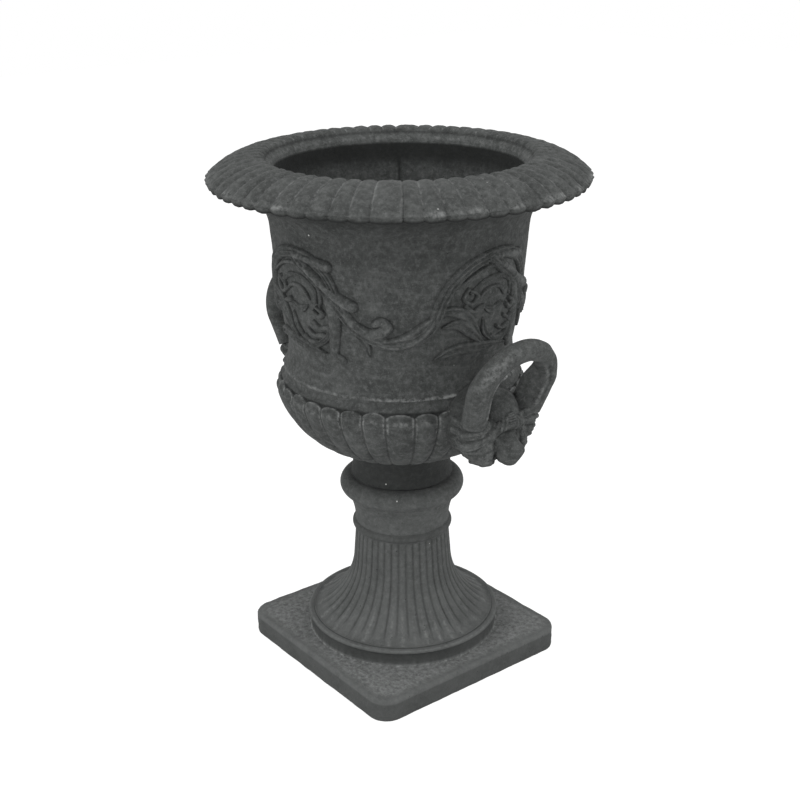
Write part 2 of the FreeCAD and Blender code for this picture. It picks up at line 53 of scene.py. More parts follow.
RIM_OUTLINE = (
    (152.1, BODY_SPLIT, 0.0, 2),
    (165.4, BODY_SPLIT, -10.5, 14),
    (207.0, 660.0, 0.0, 4),
    (238.5, 664.0, 0.0, 5),
    (242.5, 672.0, 7.5, 26),
    (176.0, 699.6, 2.5, 6),
    (166.0, 691.0, 1.0, 5),
    (158.5, 681.0, 0.0, 5),
    (158.5, 666.0, 0.0, 6),
)
BODY_OUTLINE = (
    (140.5, ARRIS_HEIGHT, 0.0, 2),
    (154.0, ARRIS_HEIGHT, -2.0, 24),
    (146.6, 460.0, 2.0, 30),
    (161.5, 570.0, 0.0, 12),
    (165.4, BODY_SPLIT, 0.0, 2),
    (152.1, BODY_SPLIT, 0.0, 4),
    (148.0, 570.0, 0.0, 5),
    (133.1, 460.0, 0.0, 4),
)
BELLY_OUTLINE = (
    (BORE_RADIUS, 264.0, 0.0, 3),
    (69.0, 264.0, 0.0, 5),
    (66.0, 280.0, -8.0, 10),
    (92.0, 311.0, 13.2, 34),
    (165.0, 393.0, 2.5, 13),
    (157.5, 411.0, -3.0, 6),
    (154.0, ARRIS_HEIGHT, 0.0, 3),
    (140.5, ARRIS_HEIGHT, 0.0, 4),
    (151.5, 393.0, -11.0, 10),
    (82.0, 330.0, 0.0, 4),
    (BORE_RADIUS, 330.0, 0.0, 3),
)
PEDESTAL_OUTLINE = (
    (BORE_RADIUS, 33.0, 0.0, 3),
    (132.2, 33.0, 0.0, 3),
    (131.2, 34.8, -0.8, 7),
    (131.0, 51.6, 0.0, 2),
    (132.6, 52.4, 1.6, 8),
    (130.2, 57.0, 0.0, 2),
    (127.2, 57.0, 0.0, 2),
    (125.0, 58.6, -14.6, 44),
    (67.4, 140.0, 0.0, 16),
    (64.2, 182.4, 4.2, 12),
    (64.2, 195.0, -2.5, 10),
    (74.0, 235.0, 15.0, 20),
    (70.0, 262.0, 0.0, 3),
    (BORE_RADIUS, 262.0, 0.0, 3),
)

# ---------- ornament
# Bearings are counted from the camera's side of the axis, like those on the photographed urn.
VIEW_BEARING = -38.0

RIM_LOBES = 60
RIM_SEAM_LOBE = 9.0
RIM_SEAM = -3.5
BELLY_LOBES = 34
BELLY_SEAM_LOBE = 13.1
BELLY_SEAM = -0.5
FOOT_REEDS = 42
FOOT_GROOVE = 3.714

# Deepest fall of a lobe or reed from its middle to the valley beside it
RIM_LOBE_DEPTH = 4.6
BELLY_LOBE_DEPTH = 5.0
FOOT_REED_DEPTH = 2.3

# Mesh columns for each lobe or reed, and in all for the plain body
RIM_LOBE_COLUMNS = 22
BELLY_LOBE_COLUMNS = 30
FOOT_REED_COLUMNS = 17
BODY_COLUMNS = 720


def turned_point(radius, angle, height):
    """Point at a radius, an angle in radians and a height, as an (..., 3) array."""
    radius, angle, height = np.broadcast_arrays(radius, angle, height)
    return np.stack([radius * np.cos(angle), radius * np.sin(angle), height], axis=-1)


def arc(start, end, bulge, rows):
    """Points from start up to but not at end, on a circle whose middle stands out by the bulge.

    With half chord c and bulge b, the circle has the radius (c*c + b*b) / (2*b); b = 0 is a straight run.
    """
    start, end = np.asarray(start, float), np.asarray(end, float)
    share = np.arange(rows) / rows
    chord = end - start
    if bulge == 0:
        return start + np.outer(share, chord)
    length = np.hypot(*chord)
    right = np.array([chord[1], -chord[0]]) / length
    half = length / 2
    radius = (half**2 + bulge**2) / (2 * abs(bulge))
    opening = math.asin(half / radius)
    turn = 2 * opening * (share - 0.5)
    across = radius * np.sin(turn)
    out = radius * np.cos(turn) - radius * math.cos(opening)
    middle = (start + end) / 2
    return middle + np.outer(across, chord / length) + np.outer(math.copysign(1, bulge) * out, right)


def trace(corners):
    """Closed outline's points, outward normals and places (corner number + share of the stretch)."""
    points, place = [], []
    for number, (radius, height, bulge, rows) in enumerate(corners):
        after = corners[(number + 1) % len(corners)]
        points.append(arc((radius, height), after[:2], bulge, rows))
        place.append(number + np.arange(rows) / rows)
    points = np.concatenate(points)
    chord = np.roll(points, -1, axis=0) - np.roll(points, 1, axis=0)
    chord /= np.linalg.norm(chord, axis=1, keepdims=True)
    normals = np.stack([chord[:, 1], -chord[:, 0]], axis=-1)
    return points, normals, np.concatenate(place)


def smooth(x, low=0.0, high=1.0):
    """Smooth step from 0 at low to 1 at high."""
    x = np.clip((x - low) / (high - low), 0, 1)
    return x * x * (3 - 2 * x)


def hump(x, middle, width):
    """Bell from 1 at the middle to 1/e at a width from it."""
    return np.exp(-(((x - middle) / width) ** 2))


def waves(points, size, seed, count=14):
    """Smooth unevenness of about -1 to 1: a sum of sine waves of about one size in random directions."""
    draw = np.random.default_rng(seed)
    total = np.zeros(points.shape[:-1])
    for _ in range(count):
        direction = draw.normal(size=3)
        direction *= 2 * math.pi / (size * draw.uniform(0.7, 1.6)) / np.linalg.norm(direction)
        total += np.sin(points @ direction + draw.uniform(0, 2 * math.pi))
    return total / math.sqrt(count)


# ---------- meshes


def mesh_object(name, points, quads, tone, nodes, sharp_rows=None, triangles=None, slot="cast_stone"):
    """Puts a surface into the scene as a smooth mesh that rides on the root body and stands for CAD nodes."""
    triangles = np.zeros((0, 3), int) if triangles is None else triangles
    corners = np.concatenate([quads.ravel(), triangles.ravel()])
    starts = np.concatenate([4 * np.arange(len(quads)), quads.size + 3 * np.arange(len(triangles))])
    mesh = bpy.data.meshes.new(name)
    mesh.vertices.add(len(points))
    mesh.vertices.foreach_set("co", (points * MM).astype(np.float32).ravel())
    mesh.loops.add(len(corners))
    mesh.loops.foreach_set("vertex_index", corners.astype(np.int32))
    mesh.polygons.add(len(starts))
    mesh.polygons.foreach_set("loop_start", starts.astype(np.int32))
    mesh.polygons.foreach_set("use_smooth", np.ones(len(starts), bool))
    mesh.update(calc_edges=True)
    mesh.validate()
    shade = mesh.attributes.new("tone", "FLOAT", "POINT")
    shade.data.foreach_set("value", tone.astype(np.float32).ravel())
    mesh.materials.append(FINISHES[slot])
    if sharp_rows is not None:
        mark_sharp(mesh, sharp_rows)
    piece = bpy.data.objects.new(name, mesh)
    bpy.context.scene.collection.objects.link(piece)
    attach(piece, "root")
    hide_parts(*nodes)


def mark_sharp(mesh, corner):
    """Marks the edges sharp whose two ends both lie on a corner ring."""
    ends = np.zeros(2 * len(mesh.edges), np.int32)
    mesh.edges.foreach_get("vertices", ends)
    ends = ends.reshape(-1, 2)
    sharp = corner[ends[:, 0]] & corner[ends[:, 1]]
    attribute = mesh.attributes.new("sharp_edge", "BOOLEAN", "EDGE")
    attribute.data.foreach_set("value", sharp)


def ring_faces(rows, columns):
    """Quads of a grid that closes both along the outline and round the axis."""
    row, column = np.meshgrid(np.arange(rows), np.arange(columns), indexing="ij")
    up, on = (row + 1) % rows, (column + 1) % columns
    corners = (row * columns + column, row * columns + on, up * columns + on, up * columns + column)
    return np.stack(corners, axis=-1).reshape(-1, 4)


def tube_faces(rows, columns, reverse):
    """Quads between rings of points, and fans from the end rings to the two points that follow them."""
    row, column = np.meshgrid(np.arange(rows - 1), np.arange(columns), indexing="ij")
    here, beside = row * columns + column, row * columns + (column + 1) % columns
    quads = np.stack([here, beside, beside + columns, here + columns], axis=-1).reshape(-1, 4)
    ring = np.arange(columns)
    after = np.roll(ring, -1)
    last = (rows - 1) * columns
    hub = np.full(columns, rows * columns)
    fans = np.concatenate(
        [np.stack([after, ring, hub], axis=-1), np.stack([last + ring, last + after, hub + 1], axis=-1)]
    )
    return (quads[:, ::-1], fans[:, ::-1]) if reverse else (quads, fans)


def turned_piece(name, corners, columns, relief, node, sharp):
    """Casting turned from a closed outline, with a relief that moves each point along the outline's normal.

    Point = outline point + normal * relief(bearing, outline point, place), turned about the axis.
    """
    outline, normals, place = trace(corners)
    angle = np.arange(columns) * 2 * math.pi / columns
    bearing = np.degrees(angle)[None, :] - VIEW_BEARING
    rise, tone = relief(bearing, outline, place[:, None])
    radius = outline[:, :1] + normals[:, :1] * rise
    height = outline[:, 1:] + normals[:, 1:] * rise
    points = turned_point(radius, angle[None, :], height).reshape(-1, 3)
    on_corner = np.repeat(np.isin(place, sharp), columns)
    tone = np.broadcast_to(tone, (len(outline), columns))
    faces = ring_faces(len(outline), columns)
    mesh_object(name, points, faces, tone, [node], on_corner)


def centred(bearing):
    """Bearing in degrees brought to -180 up to 180."""
    return (bearing + 180) % 360 - 180


def lobe_across(bearing, count, seam, seam_width):
    """Number of the lobe at a bearing, and the place across it from -1 to 1.

    Two lobes on the mould's seams, at seam and seam + 180, have their own width; the rest share what is left.
    """
    from_seam = centred(bearing - seam)
    half = np.where(np.abs(from_seam) > 90, 1, 0)
    away = np.where(half == 1, centred(from_seam - 180), from_seam)
    pitch = (180 - seam_width) / (count / 2 - 1)
    beyond = 0.5 + (np.abs(away) - seam_width / 2) / pitch
    inner = away / seam_width
    lobe = np.where(np.abs(away) < seam_width / 2, inner, np.sign(away) * beyond)
    number = np.round(lobe)
    return number + 0.37 * half * count, 2 * (lobe - number)


def lobe_edges(across, outline, count):
    """Distance to the valley beside a lobe in mm, and the height of a half circle over the lobe, 0 to 1."""
    half_width = outline[:, :1] * math.radians(360 / count) / 2
    return (1 - np.abs(across)) * half_width, np.sqrt(np.clip(1 - across**2, 0, 1))


def lobe_chance(number, seed):
    """Even random value from -1 to 1 for each lobe, from the fraction of a large sine."""
    value = np.sin(number * 12.9898 + seed * 78.233) * 43758.5453
    return 2 * (value - np.floor(value)) - 1


def quarter_round(distance, radius):
    """Height of a rounded edge, 0 at the edge and 1 a radius inside it."""
    inside = np.clip(distance / radius, 0, 1)
    return np.sqrt(np.clip(1 - (1 - inside) ** 2, 0, 1))


# ---------- reliefs of the bowl


def travel_from(outline, place, mark):
    """Distance along an outline from the corner with a number, in mm, as a column."""
    steps = np.hypot(*np.diff(outline, axis=0, prepend=outline[:1]).T)
    travel = np.cumsum(steps)
    return (travel - np.interp(mark, place[:, 0], travel))[:, None]


def arched(across, edge=0.96):
    """Fall of a convex lobe from 0 on its middle to 1 in the valley: a circle's arch, cut off near its ends."""
    return (1 - np.sqrt(1 - (edge * across) ** 2)) / (1 - math.sqrt(1 - edge**2))


def rim_relief(bearing, outline, place):
    """Convex lobes from a ragged foot under the lip, over the crest, to round ends at the throat's collar."""
    bent = bearing + 0.35 * np.sin(np.radians(bearing * 7)) + 0.2 * np.sin(np.radians(bearing * 23))
    number, across = lobe_across(bent, RIM_LOBES, RIM_SEAM, RIM_SEAM_LOBE)
    side, round_end = lobe_edges(across, outline, RIM_LOBES)
    from_lip = travel_from(outline, place, 3)
    to_collar = -travel_from(outline, place, 6) - 1.0 - 2.5 * (1 - round_end)
    foot = from_lip + 3.0 + 1.5 * lobe_chance(number, 5)
    lobed = (place > 2.0) & (place < 6.0)
    fade = (0.6 + 0.4 * smooth(to_collar, 10, 60)) * (0.62 + 0.38 * smooth(from_lip, 2, 24))
    seam_lobe = np.where(number == 0, 0.45, 1.0)
    depth = RIM_LOBE_DEPTH * fade * (1 + 0.12 * lobe_chance(number, 1)) * seam_lobe
    ends = np.maximum(1 - quarter_round(to_collar, 3.2), 0.6 - 0.6 * quarter_round(foot, 2.6))
    grid = np.stack(np.broadcast_arrays(bearing * 4, from_lip, 0 * from_lip), axis=-1)
    ragged = 0.25 * waves(grid, 9.0, 21)
    rise = np.where(lobed, -depth * np.maximum(arched(across), ends) + ragged, 0.0)
    # Lighter lines along the lobes' valleys: painted highlight on the valley flanks that face the lamps.
    groove = hump(side, 0.0, 1.5) * smooth(to_collar, 0, 6)
    worn = hump(from_lip, 12.5, 6.0) * (1 - 0.5 * across**2) * (0.5 + 0.5 * lobe_chance(number, 7))
    # Darker band just under the lip: painted shadow of the lip's overhang.
    under = 1 - smooth(from_lip, 0.5, 6.0)
    tone = np.where(lobed, 0.75 * groove * smooth(from_lip, 10, 35) + worn - under - 0.15, 0.0)
    # Collar: a lighter band on its inner slope is a painted highlight, and a darker line at its upper crease is
    # painted shade.
    collar = 0.3 * hump(place, 6.5, 0.3) - 0.55 * hump(place, 5.9, 0.12)
    # Painted shade on the rim's underside, under its overhang.
    shade = (0.3 + 0.6 * smooth(place, 1.2, 2.0)) * ((place >= 1.0) & (place < 3.0))
    # Painted shade on the bowl's inner faces and the hidden end face, with a thin darker line on the far inner
    # wall.
    inside = 1.1 * (place > 7.0) * (1 - smooth(place, 8.0, 8.5)) + ((place > 0.0) & (place < 1.0))
    inside = inside + 0.8 * (place > 8.0) * hump(centred(bearing - 180), 0.0, 0.7)
    return rise, tone + collar - shade - np.minimum(inside, 1.1)


def belly_relief(bearing, outline, place):
    """Tongue-shaped convex lobes with round tops, a raised lip round each and a scoop below its top."""
    number, across = lobe_across(bearing, BELLY_LOBES, BELLY_SEAM, BELLY_SEAM_LOBE)
    side, round_end = lobe_edges(across, outline, BELLY_LOBES)
    climb = travel_from(outline, place, 3)
    top = -travel_from(outline, place, 5) - 1.0 - 8.5 * (1 - round_end) + 1.2 * lobe_chance(number, 2)
    bottom = climb - 2.0 - 5.0 * (1 - round_end)
    inside = np.minimum(np.minimum(side, top), bottom)
    lobed = (place > 3.0) & (place < 5.0)
    depth = BELLY_LOBE_DEPTH * (0.32 + 0.68 * smooth(climb, 0, 40)) * (1 + 0.1 * lobe_chance(number, 4))
    ends = 1 - quarter_round(np.minimum(top, bottom), 3.6)
    scoop = hump(top, 8.0, 3.2) * (1 - across**4)
    rise = np.where(lobed, -depth * (np.maximum(0.92 * arched(across), ends) + 0.3 * scoop * (1 - ends)), 0.0)
    lip = hump(inside, 2.2, 1.3) * smooth(top, -2, 0) * (1 - smooth(top, 10, 40) * 0.7)
    # Bright spot below each lobe's top: a painted highlight.
    spot = hump(top, 13.5, 3.5) * (1 - np.abs(across)) * (0.5 + 0.5 * lobe_chance(number, 6))
    valley = 1 - quarter_round(inside, 1.4)
    # The raised lip is lighter as rubbed wear; the scoop below each top and the valleys between lobes are painted
    # darker as shade.
    tone = np.where(lobed, 0.9 * lip + 0.8 * spot - 0.3 * scoop - 0.8 * valley, 0.0)
    # Painted shade: the stem under the belly and the lobes' lower ends are darker, and the inner and bottom faces
    # darker still.
    stem = 0.85 * ((place >= 1) & (place <= 3.0)) + 0.5 * (1 - smooth(climb, 0, 10)) * (place > 3.0)
    return rise, tone - 0.9 * ((place > 7.5) | (place < 1)) - stem


# ---------- frieze

FRIEZE_RADIUS = 152.0
FRIEZE_HEIGHT = 535.0
FRIEZE_LOW = 462.0
FRIEZE_HIGH = 610.0
SCROLL_START = -99.0
SCROLL_END = 27.0
SCROLL_COLUMNS = 480
SCROLL_ROWS = 170
SCROLL_BEARINGS = (-50.0, 45.0, 137.5, 222.5)
# Height over the body's skin of the ground between strokes, and of the shell's back
GROUND_HEIGHT = -1.6
BACK_HEIGHT = -5.0

# Strokes of one scroll: points as (degrees from its centre, mm above its centre), widest half width in mm,
# height in mm and kind
SCROLL = (
    (((-96, 62), (-90, 48), (-82, 33), (-74, 10), (-67, -14), (-61, -27), (-55, -35), (-50, -39), (-43, -37),
      (-35, -28), (-30, -10), (-27, 14), (-22, 36), (-14, 54), (-4, 63), (6, 63), (13, 55), (19, 36), (22, 5),
      (17, -32), (9, -50), (-1, -58), (-8, -54)), 8.5, 6.0, "ribbed"),
    (((-95, 61), (-90, 61), (-84, 58), (-77, 54)), 7.6, 7.2, "bud"),
    (((-88, 47), (-82, 35), (-77, 25), (-72, 16), (-66, 8)), 8.0, 7.6, "bud"),
    (((-69, -4), (-65, -16), (-59, -25), (-54, -24), (-51, -17), (-53, -9), (-56, -12)), 8.0, 7.0, "plain"),
    (((-56, -36), (-48, -38), (-40, -31), (-34, -17), (-31, -6)), 11.0, 7.0, "leaf"),
    (((-66, -24), (-61, -40), (-59, -56)), 5.5, 4.0, "leaf"),
    (((-78, 14), (-75, -10), (-76, -34), (-77, -58)), 9.0, 5.4, "plain"),
    (((-78, -56), (-73, -66)), 6.0, 4.6, "bud"),
    (((-30, -1), (-22, 0), (-14, -12), (-5, -48)), 7.5, 5.0, "leaf"),
    (((-27, -20), (-19, -18), (-12, -32), (-3, -52)), 7.5, 5.4, "leaf"),
    (((-30, -62), (-20, -52), (-4, -54), (14, -60)), 8.0, 5.6, "leaf"),
    (((-21, 28), (-10, 45), (0, 50), (9, 42), (14, 18), (13, 2)), 3.2, 4.4, "plain"),
    (((-13, 20), (-6, 32), (3, 34), (10, 24), (11, 6)), 3.6, 4.0, "ribbed"),
    (((-10, 10), (-4, 21), (3, 20), (7, 8)), 3.0, 3.6, "plain"),
    (((-15, 26), (-17, 14), (-13, 6), (-10, 16), (-14, 24)), 3.0, 5.2, "plain"),
    (((-16, 4), (-12, -4), (-7, 0)), 4.2, 5.4, "bud"),
    (((-6, -2), (0, -8), (6, 0)), 5.4, 3.4, "leaf"),
    (((-6, -14), (-4, -34), (2, -50)), 4.6, 4.4, "leaf"),
    (((11, 0), (14, -6), (12, -12), (9, -6)), 3.8, 5.6, "plain"),
    (((8, -20), (12, -26), (17, -24)), 4.0, 5.0, "bud"),
    (((4, -32), (8, -38), (13, -36)), 4.0, 4.8, "bud"),
    (((1, -42), (4, -48), (9, -46)), 3.6, 4.4, "plain"),
)


def curve_through(points, count):
    """Smooth curve through points: each span is the cubic through its ends with the neighbours' slopes."""
    points = np.asarray(points, float)
    padded = np.concatenate([[2 * points[0] - points[1]], points, [2 * points[-1] - points[-2]]])
    at = np.linspace(0, len(points) - 1, count)
    span = np.minimum(at.astype(int), len(points) - 2)
    t = (at - span)[:, None]
    before, start, end, after = (padded[span + k] for k in range(4))
    return 0.5 * (
        2 * start
        + (end - before) * t
        + (2 * before - 5 * start + 4 * end - after) * t**2
        + (3 * start - before - 3 * end + after) * t**3
    )


def stroke_profile(kind, across):
    """Height of a stroke from 0 to 1 at a place across it, 0 on its middle line and 1 at its edge."""
    dome = np.sqrt(np.clip(1 - across**2, 0, 1))
    edge = np.clip(1 - across**4, 0, 1) ** 0.6
    if kind == "ribbed":
        return edge * (0.76 + 0.24 * np.cos(3 * math.pi * across))
    if kind == "leaf":
        return edge * (0.45 + 0.55 * smooth(across, 0.05, 0.6))
    return dome


def stroke_taper(kind, along):
    """Share of the widest half width along a stroke."""
    if kind == "ribbed":
        return 1.0 - 0.55 * smooth(along, 0.55, 1.0)
    if kind == "leaf":
        return np.clip(np.sin(math.pi * along) ** 0.7, 0.08, 1)
    if kind == "bud":
        return 0.62 + 0.38 * smooth(along, 0.45, 0.85)
    return 0.6 + 0.4 * np.sin(math.pi * along)


def add_stroke(height, across_mm, up_mm, points, half_width, lift, kind):
    """Raises the height field to a stroke: its profile over the distance to the nearest point of its curve."""
    span = curve_through(points, 14 * len(points))
    low, high = span.min(axis=0) - half_width, span.max(axis=0) + half_width
    near = (across_mm > low[0]) & (across_mm < high[0]) & (up_mm > low[1]) & (up_mm < high[1])
    spot = np.stack([across_mm[near], up_mm[near]], axis=-1)
    along = np.linspace(0, 1, len(span))
    best = np.full(len(spot), 9.0)
    for point, share in zip(span, along):
        width = half_width * stroke_taper(kind, share)
        ratio = np.hypot(*(spot - point).T) / width
        best = np.minimum(best, ratio)
    bump = lift * stroke_profile(kind, best)
    height[near] = np.maximum(height[near], bump)


BODY_SIDE = (BODY_OUTLINE, 1, 4)
BELLY_SIDE = (BELLY_OUTLINE, 2, 6)


def plain_skin(height, *sides):
    """Radius of the plain outside at a height; a side is an outline and its first and last outside corner."""
    points = []
    for corners, first, last in sides:
        outline, _, place = trace(corners)
        points.append(outline[(place >= first) & (place <= last)])
    points = np.concatenate(points)
    return np.interp(height, points[:, 1], points[:, 0])


def body_relief(bearing, outline, place):
    """Trowelled body: faint level ripples, and a worn, ragged bead on its lower arris with a painted highlight.
    """
    up = outline[:, 1:]
    outside = (place >= 1.0) & (place < 4.0)
    grid = np.stack(np.broadcast_arrays(bearing * 2.6, up * 2.5, 0 * up), axis=-1)
    ripple = waves(grid, 60.0, 11) + 0.5 * waves(grid, 25.0, 12)
    ragged = 1 + 0.35 * waves(grid, 12.0, 13)
    bead = hump(up, ARRIS_HEIGHT + 1.5, 2.0) * ((place >= 1.0) & (place < 2.0)) * ragged
    # The bead is lighter as rubbed wear, and its painted highlight grows stronger towards the right of the view.
    bright = 0.55 + 0.75 * smooth(centred(bearing), -14, 6)
    # Painted shade on the inner wall and hidden end face, and under the rim's overhang on the outside.
    inside = (0.9 - 0.9 * smooth(up, 530, BODY_SPLIT)) * (place > 4.0) + 0.9 * (place < 1.0)
    tone = bright * bead - 0.3 * smooth(up, 560, 608) * (place <= 4.0) - inside
    return np.where(outside, 0.22 * ripple + 0.5 * bead, 0.0), tone


def build_scroll(name, centre):
    """One scroll of the frieze as a closed shell: radius = the body's radius + height of the strokes."""
    away = np.linspace(SCROLL_START, SCROLL_END, SCROLL_COLUMNS)
    level = np.linspace(FRIEZE_LOW, FRIEZE_HIGH, SCROLL_ROWS)
    across, up = np.meshgrid(np.radians(away) * FRIEZE_RADIUS, level - FRIEZE_HEIGHT)
    height = np.zeros(across.shape)
    for points, half_width, lift, kind in SCROLL:
        arc_points = [(math.radians(degrees) * FRIEZE_RADIUS, spot) for degrees, spot in points]
        add_stroke(height, across, up, arc_points, half_width, lift, kind)
    grid = np.stack([across, up, 0 * up], axis=-1)
    height = np.where(height > 0.05, height * (1 + 0.05 * waves(grid, 14.0, 14)) - 0.2, GROUND_HEIGHT)
    slope = np.hypot(*np.gradient(height))
    # Raised tops are lighter as rubbed wear; steep flanks and the ground between the strokes are painted darker
    # as shade.
    tone = 0.3 * smooth(height, 3.5, 6.5) - 0.42 * smooth(slope, 1.4, 3.0) - 0.2 * (height < 2.0)
    height = np.vstack([height, np.full((2, len(away)), BACK_HEIGHT)])
    tone = np.vstack([tone, np.zeros((2, len(away)))])
    level = np.append(level, [level[-1], level[0]])
    angle = np.radians(away + centre + VIEW_BEARING)
    points = turned_point(plain_skin(level, BODY_SIDE)[:, None] + height, angle[None, :], level[:, None])
    rows, columns = tone.shape
    ends = np.stack([points[:, 0].mean(axis=0), points[:, -1].mean(axis=0)])
    points = np.concatenate([points.transpose(1, 0, 2).reshape(-1, 3), ends])
    tone = np.append(tone.T.ravel(), [0, 0])
    quads, fans = tube_faces(columns, rows, reverse=True)
    mesh_object(name, points, quads, tone, ["bowl"], triangles=fans)


# ---------- pedestal


def pedestal_relief(bearing, outline, place):
    """Convex reeds with soft valleys, from rounded ends above the foot ring up to the astragal."""
    lobe = (bearing - FOOT_GROOVE) * FOOT_REEDS / 360 + 0.5
    number = np.round(lobe)
    across = 2 * (lobe - number)
    side, round_end = lobe_edges(across, outline, FOOT_REEDS)
    climb = travel_from(outline, place, 7)
    bottom = climb - 9.0 - 5.0 * (1 - round_end) + 2.5 * lobe_chance(number, 8)
    top = -travel_from(outline, place, 9) - 2.0
    reeded = (place > 7.0) & (place < 9.0)
    depth = (FOOT_REED_DEPTH - smooth(climb, 0, 110)) * (1 + 0.35 * lobe_chance(number, 3))
    ends = 1 - quarter_round(np.minimum(bottom, top), 4.0)
    rise = np.where(reeded, -depth * np.maximum(arched(across, 0.9), 0.9 * ends), 0.0)
    ridge = (1 - np.abs(across)) ** 2 * (1 - smooth(climb, 10, 95)) * (0.6 + 0.6 * lobe_chance(number, 9))
    # Painted shade in the valleys between the reeds.
    valley = hump(side, 0.0, 1.8) * smooth(bottom, 0, 12)
    tone = np.where(reeded, 0.6 * ridge - 0.4 * valley, 0.0)
    # Painted shade on the top of the knob, under the belly, and on the neck.
    knob = 0.2 * smooth(place, 11.3, 11.9)
    tone = tone - knob * (place > 11.02) - 0.3 * ((place > 9.0) & (place < 10.0))
    ragged = 0.6 + 0.5 * waves(np.stack([bearing * 2, 0 * bearing, 0 * bearing], axis=-1), 7.0, 31)
    contact = 1.69 * hump(place, 1.3, 0.6) * ((place >= 1.0) & (place < 3.0)) * ragged
    # Painted shade on the foot ring's undercut face.
    below = 0.6 * ((place >= 2.1) & (place < 4.05))
    bead = 0.35 * hump(place, 4.75, 0.3) * ((place >= 4.0) & (place < 6.0))
    # Painted shade in the crease between the foot ring and the reeds.
    crease = 0.9 * hump(place, 6.6, 0.5) * ((place >= 5.6) & (place < 7.0))
    return rise, tone + contact - below + bead - crease


# ---------- materials


def linear(code):
    """Linear RGBA of an sRGB hex colour."""
    parts = [int(code[i : i + 2], 16) / 255 for i in (1, 3, 5)]
    return tuple(c / 12.92 if c <= 0.04045 else ((c + 0.055) / 1.055) ** 2.4 for c in parts) + (1.0,)


def add_node(tree, kind, settings=(), **links):
    """Adds a node, sets its properties and input values, and links inputs to other nodes' outputs.

    An input is given by its name, with _ for a space, or as i and its number.
    """
    node = tree.nodes.new(kind)
    for name, value in dict(settings).items():
        setattr(node, name, value)
    for name, value in links.items():
        numbered = name[0] == "i" and name[1:].isdigit()
        socket = node.inputs[int(name[1:]) if numbered else name.replace("_", " ")]
        if isinstance(value, bpy.types.NodeSocket):
            tree.links.new(value, socket)
        else:
            socket.default_value = value
    return node


def blank_material(name):
    """New material without nodes, and its node tree."""
    material = bpy.data.materials.new(name)
    material.use_nodes = True
    material.node_tree.nodes.clear()
    return material, material.node_tree


def noise(tree, place, size_mm, detail=3.0, roughness=0.55):
    """Noise whose features are about one size."""
    return add_node(
        tree, "ShaderNodeTexNoise", Vector=place, Scale=1 / (size_mm * MM), Detail=detail, Roughness=roughness
    ).outputs["Fac"]


def ramp(tree, value, low, high, to_low=0.0, to_high=1.0):
    """Value mapped from one range to another, held inside it."""
    ends = {"From_Min": low, "From_Max": high, "To_Min": to_low, "To_Max": to_high}
    return add_node(tree, "ShaderNodeMapRange", {"clamp": True}, Value=value, **ends).outputs["Result"]


def math_node(tree, operation, first, second):
    """Result of one operation on two values."""
    return add_node(tree, "ShaderNodeMath", {"operation": operation}, i0=first, i1=second).outputs[0]


def cells(tree, place, size_mm, channel, rarity):
    """Distance from the middles of random cells of about one size, and 1 in the cells picked, else 0."""
    pattern = add_node(tree, "ShaderNodeTexVoronoi", Vector=place, Scale=1 / (size_mm * MM)).outputs
    chance = add_node(tree, "ShaderNodeSeparateColor", Color=pattern["Color"]).outputs[channel]
    return pattern["Distance"], ramp(tree, chance, rarity, rarity + 0.01)


def mix_colour(tree, share, first, second):
    """Colour between two, by a share of the second."""
    return add_node(tree, "ShaderNodeMix", {"data_type": "RGBA"}, i0=share, i6=first, i7=second).outputs[2]


